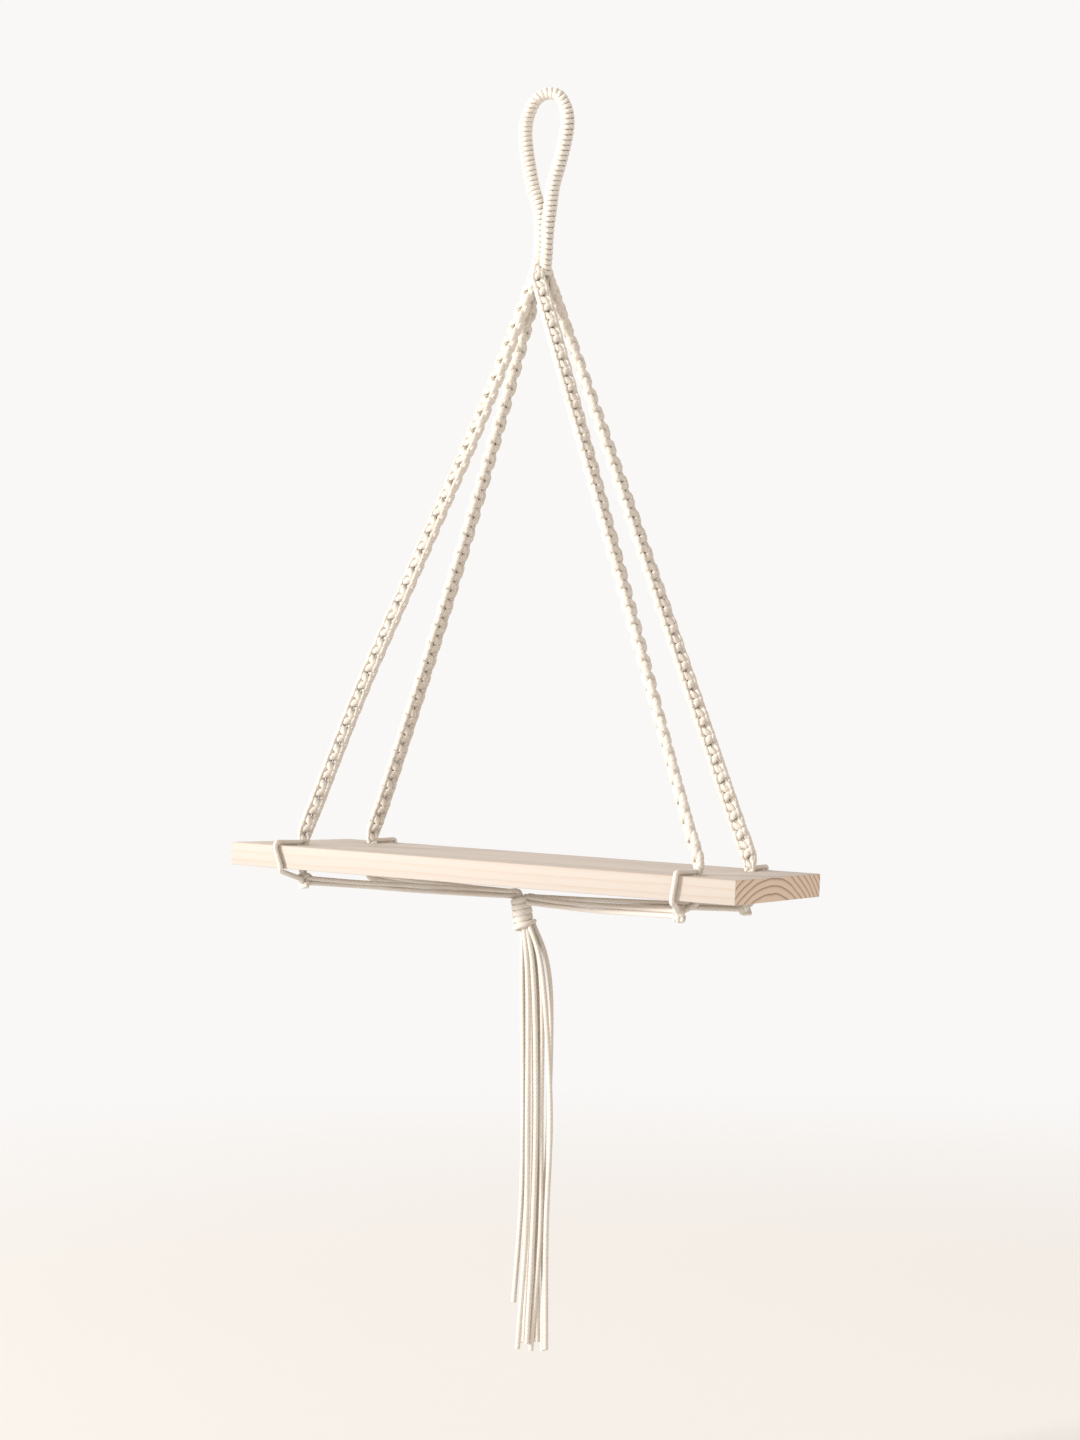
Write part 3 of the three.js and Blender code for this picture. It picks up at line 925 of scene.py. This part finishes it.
knot_object = draw_lines("knot_lines", knot_lines())
for corner, chain in zip(CORNERS, CHAINS):
    corner.update(chain)
    path = chain_path(corner)
    drawn_path = draw_lines("chain_path", [path])
    knots = round(line_length(path) / KNOT_PITCH)
    piece = grow("knotted_chain_" + corner["name"], square_knots, {
        "Path": drawn_path, "Knot": knot_object, "Knots": knots, "Radius": WORKING_RADIUS,
        "Start Turn": corner["start"], "Turns": corner["turns"]})
    bpy.data.objects.remove(drawn_path)
    hand_over(piece, "cotton_cord", "chain_" + corner["name"])
    print(knots, "knots in", round(line_length(path) / MM), "mm")
bpy.data.objects.remove(knot_object)

# %% [markdown]
# ## The wrapped loop
#
# For the loop the maker bends the whole bundle of cords over and winds one long cord round it, turn against
# turn, with each turn hitched over itself so that a small ridge runs down one side. The tree winds that
# cord: it walks along the loop's line, goes round it once for each pitch, and lifts and shifts the cord
# where the ridge is. The bundle inside only shows as a dark line between two turns, so it is one thick cord
# of four plies.

# %% A geometry tree that winds a cord round a line
WRAP_POINTS = 24
RIDGE_NARROW = 14
RIDGE_CROSSES = (0.4, 0.6)


def wrap_tree():
    sizes = {
        **CORD_SIZES,
        "Path": "Object",
        "Facing": (0, -1, 0),
        "Windings": 60,
        "Start Radius": 5 * MM,
        "Middle Radius": 4 * MM,
        "End Radius": 5 * MM,
        "Middle Reach": 0.12,
        "Ridge Start": 0.0,
        "Ridge End": 0.0,
        "Ridge Lift": 0.5 * MM,
        "Ridge Shift": 2.8 * MM,
        "Ridge Girth": 0.74,
        "Slant": 0.0,
        "End Reach": 1.0,
        "End Scale": 1.0,
        "Pressed": 0.4,
    }
    net, given = geometry_tree("wound cord", sizes)
    path = net.node("GeometryNodeObjectInfo", feeds={"Object": given["Path"]})["Geometry"]
    count = given["Windings"] * WRAP_POINTS
    feeds = {"Curve": net.node("GeometryNodeCurvePrimitiveLine")["Curve"], "Count": count + 1}
    points = net.node("GeometryNodeResampleCurve", {"mode": "COUNT"}, feeds)["Curve"]
    share = net.node("GeometryNodeInputIndex")["Index"] / count
    angle = share * given["Windings"] * TURN
    on_path = net.node("GeometryNodeSampleCurve", {"mode": "FACTOR"}, {"Curves": path, "Factor": share})
    tangent = on_path["Tangent"]
    side = net.vector_function("NORMALIZE", net.vector_function("CROSS_PRODUCT", tangent, given["Facing"]))
    face = net.vector_function("CROSS_PRODUCT", side, tangent)
    outwards = face * net.function("COSINE", angle) + side * net.function("SINE", angle)

    from_middle = net.function("ABSOLUTE", share - 0.5)
    near_middle = net.remap(from_middle, 0, given["Middle Reach"], smooth=True)
    ends = given["Start Radius"] + (given["End Radius"] - given["Start Radius"]) * share
    radius = given["Middle Radius"] + (ends - given["Middle Radius"]) * near_middle
    reach = given["End Reach"]
    near_end = net.remap(from_middle, 0.5 - reach, 0.5 - reach * 0.5, smooth=True)
    radius = radius * (1 - (1 - given["End Scale"]) * near_end)

    crossed = net.remap(share, *RIDGE_CROSSES, smooth=True)
    ridge_angle = angle - given["Ridge Start"] - (given["Ridge End"] - given["Ridge Start"]) * crossed
    ridge = (net.function("COSINE", ridge_angle) * 0.5 + 0.5) ** RIDGE_NARROW
    shift = ridge * net.function("SINE", ridge_angle) * given["Ridge Shift"]
    shift = shift - net.function("SINE", angle) * given["Slant"] * near_end
    position = on_path["Position"] + outwards * (radius + ridge * given["Ridge Lift"]) + tangent * shift
    girth = 1 - ridge * (1 - given["Ridge Girth"])
    pressed = outwards * net.function("SQRT", given["Pressed"])
    kept = net.node("GeometryNodeCaptureAttribute", {"captures": {"pressed": "VECTOR", "girth": "FLOAT"}},
                    {"Geometry": points, "pressed": pressed, "girth": girth})
    wound = net.shape("SetPosition", kept["Geometry"], {"Position": position})
    return close_tree(net, given, lay(net, given, wound, girth=kept["girth"], flat=kept["pressed"]))


wound_cord = wrap_tree()


def wind(name, path, **sizes):
    """Winds a cord round a line and returns the grown part."""
    drawn = draw_lines(name + "_path", [path])
    named = {label.replace("_", " ").title(): size for label, size in sizes.items()}
    part = grow(name, wound_cord, {"Path": drawn, **named})
    bpy.data.objects.remove(drawn)
    return part


print("winding tree has", len(wound_cord.nodes), "nodes")

# %% The loop and its neck
LOOP_CENTRE = -1.3
LOOP_PITCH = 4.7 * MM
LEG_CROSSING = 2.7
LEGS_CLOSE = 81
LOOP_SHAPE = table(
    "down half",
    (-5.3, 0),
    (-1.8, 10.5),
    (7.5, 16.8),
    (18, 20.1),
    (30, 20.6),
    (45, 18.4),
    (62, 15),
    (81, 10.7),
    (102, 6.4),
    (120, 4.8),
    (140, 4.8),
    (160.5, 4.2),
)
LOOP_WIDE = 6.4 * MM
LOOP_NARROW = 5.3 * MM
NECK_SHARE = 0.15
NECK_SCALE = 0.86
NECK_SLANT = 2.6 * MM
BUNDLE_RADIUS = 4.2 * MM
BUNDLE_LAY = 60 * MM
BUNDLE_STEP = 3 * MM
WRAP_RADIUS = 2.55 * MM
WRAP_PRESSED = 0.45
WRAP_GROOVE = 0.03
RIDGE_SIDE = math.radians(62)
PRESSED_RADIUS = WRAP_RADIUS * (1 - WRAP_PRESSED)


def smoothstep(value, low, high):
    share = min(max((value - low) / (high - low), 0), 1)
    return share * share * (3 - 2 * share)


def leg_stop(row, side):
    """One place on the loop's left or right leg. The right leg comes forward where the two cross."""
    drift = (NECK_X - LOOP_CENTRE) * smoothstep(row["down"], LEGS_CLOSE, NECK_START)
    forward = side * LEG_CROSSING * smoothstep(row["down"], LEGS_CLOSE / 2, NECK_START)
    return in_loop(LOOP_CENTRE + drift + side * row["half"], row["down"], forward)


def loop_line():
    left = [leg_stop(row, -1) for row in reversed(LOOP_SHAPE[1:])]
    right = [leg_stop(row, 1) for row in LOOP_SHAPE]
    return smooth_line([*left, *right])


def hanging_loop():
    facing = in_loop(0, 0, 1).normalized()
    legs = loop_line()
    turns = round(line_length(legs) / LOOP_PITCH)
    wide = LOOP_WIDE - PRESSED_RADIUS
    narrow = LOOP_NARROW - PRESSED_RADIUS
    winding = wind("loop_winding", legs, facing=facing, windings=turns, radius=WRAP_RADIUS,
                   pressed=WRAP_PRESSED, groove=WRAP_GROOVE, start_radius=wide, middle_radius=narrow,
                   end_radius=wide, ridge_start=RIDGE_SIDE, ridge_end=-RIDGE_SIDE, slant=NECK_SLANT,
                   end_reach=NECK_SHARE, end_scale=NECK_SCALE)
    bundle = grow_cords("loop_bundle", [legs], radius=BUNDLE_RADIUS, plies=4, lay=BUNDLE_LAY,
                        step=BUNDLE_STEP)
    print(turns, "turns round the loop and its neck")
    return join_pieces("wrapped_loop", [winding, bundle])


hand_over(hanging_loop(), "cotton_cord", "hanging_loop")

# %% [markdown]
# ## Straps over the edges
#
# At every corner one cord leaves the chain's foot, lies flat on the board, goes over the nearest long edge
# and comes back underneath to the corner knot. It keeps the board from tipping out of its chains.

# %% Four straps
STRAP_RADIUS = 2.25 * MM
LAID_GAP = 2.3
EDGE = BOARD_DEPTH / MM / 2
UNDERSIDE = -BOARD_THICK / MM
TIE_DROP = 11
TIE_RADIUS = 5.8


def tie_middle(corner):
    return Vector((corner["tie_x"], corner["tie_y"], UNDERSIDE - TIE_DROP))


def strap_line(corner):
    outwards = math.copysign(1, corner["y"])
    high_x = corner["x"] - 1
    low_x = corner["x"] + corner["low"]
    foot = abs(corner["y"])
    stops = [
        (corner["x"], foot + 1, 4.5),
        (corner["x"], foot + 4.5, LAID_GAP + 0.3),
        (corner["x"], foot + 9, LAID_GAP),
        (high_x, EDGE - 12, LAID_GAP),
        (high_x, EDGE - 1, LAID_GAP + 0.1),
        (high_x, EDGE + 1.8, 1.5),
        (high_x, EDGE + LAID_GAP + 0.1, -1.5),
        (low_x, EDGE + LAID_GAP + 0.1, UNDERSIDE + 1.5),
        (low_x, EDGE + 1.8, UNDERSIDE - 1.6),
        (low_x, EDGE - 1.5, UNDERSIDE - LAID_GAP - 0.4),
    ]
    tie = tie_middle(corner)
    line = [on_board(x, outwards * y, z) for x, y, z in stops]
    near_tie = tie.lerp(Vector((low_x, outwards * stops[-1][1], stops[-1][2])), 0.12)
    return smooth_line([*line, on_board(*near_tie)])


for corner in CORNERS:
    line = strap_line(corner)
    strap = grow_cords("edge_strap_" + corner["name"], [line], radius=STRAP_RADIUS)
    hand_over(strap, "cotton_cord", "strap_" + corner["name"])

# %% [markdown]
# ## Corner knots
#
# The other cords of the chain go down through the hole and are tied to the strap with an overhand knot. An
# overhand knot whose ends are joined is a trefoil, and the trefoil has a short formula, so the body of the
# knot is drawn with it. Two short cut ends stick out below.

# %% Four corner knots
TREFOIL_SIZE = 1.75
KNOT_RADIUS = 2.5 * MM
TREFOIL_STEPS = 90
TREFOIL_TILT = math.radians(70)
TREFOIL_DEEP = 1.15
FIRST_TURNED = 35
NEXT_TURNED = 80
HOLE_OFFSET = 2.1
HOLE_STOPS = ((-3, 0), (UNDERSIDE / 2, 0.4), (UNDERSIDE - 1, 0.8))
CUT_END = Vector((4.4, -2.5, -5.8))


def trefoil(middle, turn):
    """A closed overhand knot round its middle, turned about the upright."""
    spin = Matrix.Rotation(turn, 3, "Z") @ Matrix.Rotation(TREFOIL_TILT, 3, "X")
    line = []
    for step in range(TREFOIL_STEPS + 1):
        t = TURN * step / TREFOIL_STEPS
        x = math.sin(t) + 2 * math.sin(2 * t)
        y = math.cos(t) - 2 * math.cos(2 * t)
        z = -TREFOIL_DEEP * math.sin(3 * t)
        line.append(on_board(*(middle + spin @ Vector((x, y, z)) * TREFOIL_SIZE)))
    return line


def hole_line(corner, number):
    """One of three cords that go down through the hole to the knot."""
    middle = tie_middle(corner)
    stops = []
    for depth, twist in HOLE_STOPS:
        angle = TURN * number / 3 + twist
        aside = Vector((math.cos(angle), math.sin(angle), 0)) * HOLE_OFFSET
        stops.append(Vector((corner["x"], corner["y"], depth)) + aside)
    return smooth_line([on_board(*stop) for stop in [*stops, middle]])


def cut_end(corner, side):
    middle = tie_middle(corner)
    tip = middle + Vector((side * CUT_END.x, side * CUT_END.y, CUT_END.z))
    bend = middle.lerp(tip, 0.6) + Vector((side, 0, 0))
    return smooth_line([on_board(*stop) for stop in (middle, bend, tip)])


for number, corner in enumerate(CORNERS):
    body = trefoil(tie_middle(corner), math.radians(FIRST_TURNED + NEXT_TURNED * number))
    lines = [hole_line(corner, strand) for strand in range(3)]
    lines += [cut_end(corner, side) for side in (-1, 1)]
    parts = [grow_cords("knot_ends_" + corner["name"], lines),
             grow_cords("knot_body_" + corner["name"], [body], radius=KNOT_RADIUS)]
    knot = join_pieces("corner_knot_" + corner["name"], parts)
    hand_over(knot, "cotton_cord", "tie_" + corner["name"])

# %% [markdown]
# ## Runners below the board
#
# From each corner knot two cords run side by side to the tassel, a finger's width below the board, and turn
# a little about each other on the way.

# %% Four runners
HEAD_TOP = Vector((17.4, 0, -692))
HEAD_LENGTH = 31.5
HEAD_LEAN = 4.2
HEAD_RADIUS = 8
HEAD_ASIDE = -2.2
INTO_TIE = 3
INTO_HEAD = 1
PAIR_TURN = 15
PAIR_SWING = 25
RUNNER_STOPS = 9
head_top = Vector((HEAD_TOP.x * MM, (low.y + high.y) / 2, HEAD_TOP.z * MM))
head_foot = head_top + Vector((HEAD_LEAN, 0, -HEAD_LENGTH)) * MM


def runner_ends(corner):
    tie = on_board(*tie_middle(corner))
    meeting = head_top.lerp(head_foot, corner["meet"] / HEAD_LENGTH)
    inwards = (meeting - tie).normalized()
    start = tie + inwards * (TIE_RADIUS - INTO_TIE) * MM
    end = meeting - inwards * (HEAD_RADIUS - INTO_HEAD) * MM
    return start, end


def pair_offset(forward, share):
    """How far the first of the two cords lies from the middle of the pair."""
    across = Vector((0, 0, 1)).cross(forward).normalized()
    above = forward.cross(across)
    turn = math.radians(PAIR_TURN + PAIR_SWING * math.sin(TURN * share))
    return (above * math.cos(turn) - across * math.sin(turn)) * CORD_RADIUS


def runner_lines(corner):
    start, end = runner_ends(corner)
    forward = (end - start).normalized()
    lines = []
    for side in (-1, 1):
        stops = []
        for step in range(RUNNER_STOPS):
            share = step / (RUNNER_STOPS - 1)
            dip = Vector((0, 0, -corner["slack"] * MM * math.sin(math.pi * share)))
            stops.append(start.lerp(end, share) + dip + side * pair_offset(forward, share))
        lines.append(smooth_line(stops))
    return lines


for corner in CORNERS:
    runner = grow_cords("runner_cords_" + corner["name"], runner_lines(corner))
    hand_over(runner, "cotton_cord", "runner_" + corner["name"])

# %% [markdown]
# ## The tassel
#
# The eight cords from the corners turn down at the board's middle, a spare length of cord is wound round
# them, and ten ends hang below. Each end has its own row: how far it strays to the right at four places
# down its length, how far it hangs towards the wall, and how long it is.

# %% The tassel's cords
STATIONS = {"upper": 0.15, "middle": 0.45, "lower": 0.72, "end": 1}
STRANDS = table(
    "upper middle lower end depth long",
    (-3, -2.4, -3.8, -11.2, -1.5, 312),
    (-3.8, -3.4, -4.3, -8, 5, 346),
    (4.2, 3.8, 2.4, -5.5, -5.5, 349),
    (2.4, 3.8, 1.5, -4, 3.3, 345),
    (9.3, 11.2, 8.4, 2.8, -4.5, 344),
    (7.3, 7.8, 6, 1.7, 5.2, 348),
    (11.2, 10.3, 9.3, 9.5, 1, 343),
    (14.5, 14.1, 13.3, 4.7, -1.2, 350),
    (20.8, 19.6, 15.3, 14, 2.2, 350),
    (18.6, 24.6, 20.8, 20.2, -5, 347),
)
STRAND_RADIUS = 2.3 * MM
SPREAD_LEFT = -4
SPREAD_WIDE = 26
ROOTS_LEFT = -3.1
ROOTS_WIDE = 8.6
ROOT_RISE = 4
ROOT_DEEP = 0.8
LEAVING = 0.07
LEAVING_SPREAD = 0.68


def strand_line(row):
    """One hanging end, from inside the head to its cut."""
    fan = ROOTS_LEFT + ROOTS_WIDE * (row["upper"] - SPREAD_LEFT) / SPREAD_WIDE
    foot = head_foot / MM
    root = foot + Vector((fan, ROOT_DEEP * row["depth"], ROOT_RISE))

    def place(share, sideways):
        return Vector((foot.x + sideways, foot.y + row["depth"], root.z - row["long"] * share)) * MM

    leaving = place(LEAVING, fan + LEAVING_SPREAD * (row["upper"] - fan))
    stations = [place(share, row[station]) for station, share in STATIONS.items()]
    return smooth_line([root * MM, leaving, *stations])


def bend_line(corner, side):
    """A runner's cord as it turns down into the head."""
    start, end = runner_ends(corner)
    forward = (end - start).normalized()
    pair = side * pair_offset(forward, 1)
    inside = head_top.lerp(head_foot, 0.3)
    over = end + forward * 2.8 * MM + pair * 0.9 + Vector((0, 0, 0.4)) * MM
    down = inside - forward * 1.6 * MM + pair * 0.5
    return smooth_line([end - forward * 3 * MM + pair, over, down, down + (head_foot - head_top) * 0.5])


print(len(STRANDS), "hanging ends, up to", max(row["long"] for row in STRANDS), "mm long")

# %% The tassel's wound head
HEAD_TURNS = 5
HEAD_CORD = 2.9 * MM
HEAD_PRESSED = 0.5
HEAD_WOUND = (7.1 * MM, 7.3 * MM)
WOUND_FROM = 0.2
LAST_CORD = 1.9 * MM
LAST_STEPS = 90
LAST_TURN = {"from": -0.72, "long": 0.74, "out": 6.9, "wider": 2.4, "up": 3.2, "climb": 3.2}
LAST_HIGH = math.radians(27)


def last_turn():
    """The last turn, which climbs to the right across the head and is tucked in behind."""
    line = []
    for step in range(LAST_STEPS):
        share = step / (LAST_STEPS - 1)
        angle = TURN * (LAST_TURN["from"] + LAST_TURN["long"] * share)
        out = LAST_TURN["out"] + LAST_TURN["wider"] * share
        up = LAST_TURN["up"] + LAST_TURN["climb"] * math.cos(angle - LAST_HIGH)
        place = Vector((HEAD_ASIDE + out * math.cos(angle), out * math.sin(angle), up))
        line.append(head_foot + place * MM)
    return line


def tassel():
    lines = [strand_line(row) for row in STRANDS]
    lines += [bend_line(corner, side) for corner in CORNERS for side in (-1, 1)]
    strands = grow_cords("tassel_strands", lines, radius=STRAND_RADIUS)
    aside = Vector((HEAD_ASIDE, 0, 0)) * MM
    wrapped = smooth_line([head_top.lerp(head_foot, WOUND_FROM) + aside, head_foot + aside])
    away = RIDGE_SIDE + math.pi
    end_out, middle_out = HEAD_WOUND
    winding = wind("head_winding", wrapped, windings=HEAD_TURNS, start_radius=end_out,
                   middle_radius=middle_out, end_radius=end_out, pressed=HEAD_PRESSED, radius=HEAD_CORD,
                   groove=WRAP_GROOVE, facing=to_wall, ridge_start=away, ridge_end=away)
    last = grow_cords("last_turn", [last_turn()], radius=LAST_CORD)
    return join_pieces("tassel_cords", [strands, winding, last])


hand_over(tassel(), "cotton_cord", "tassel")
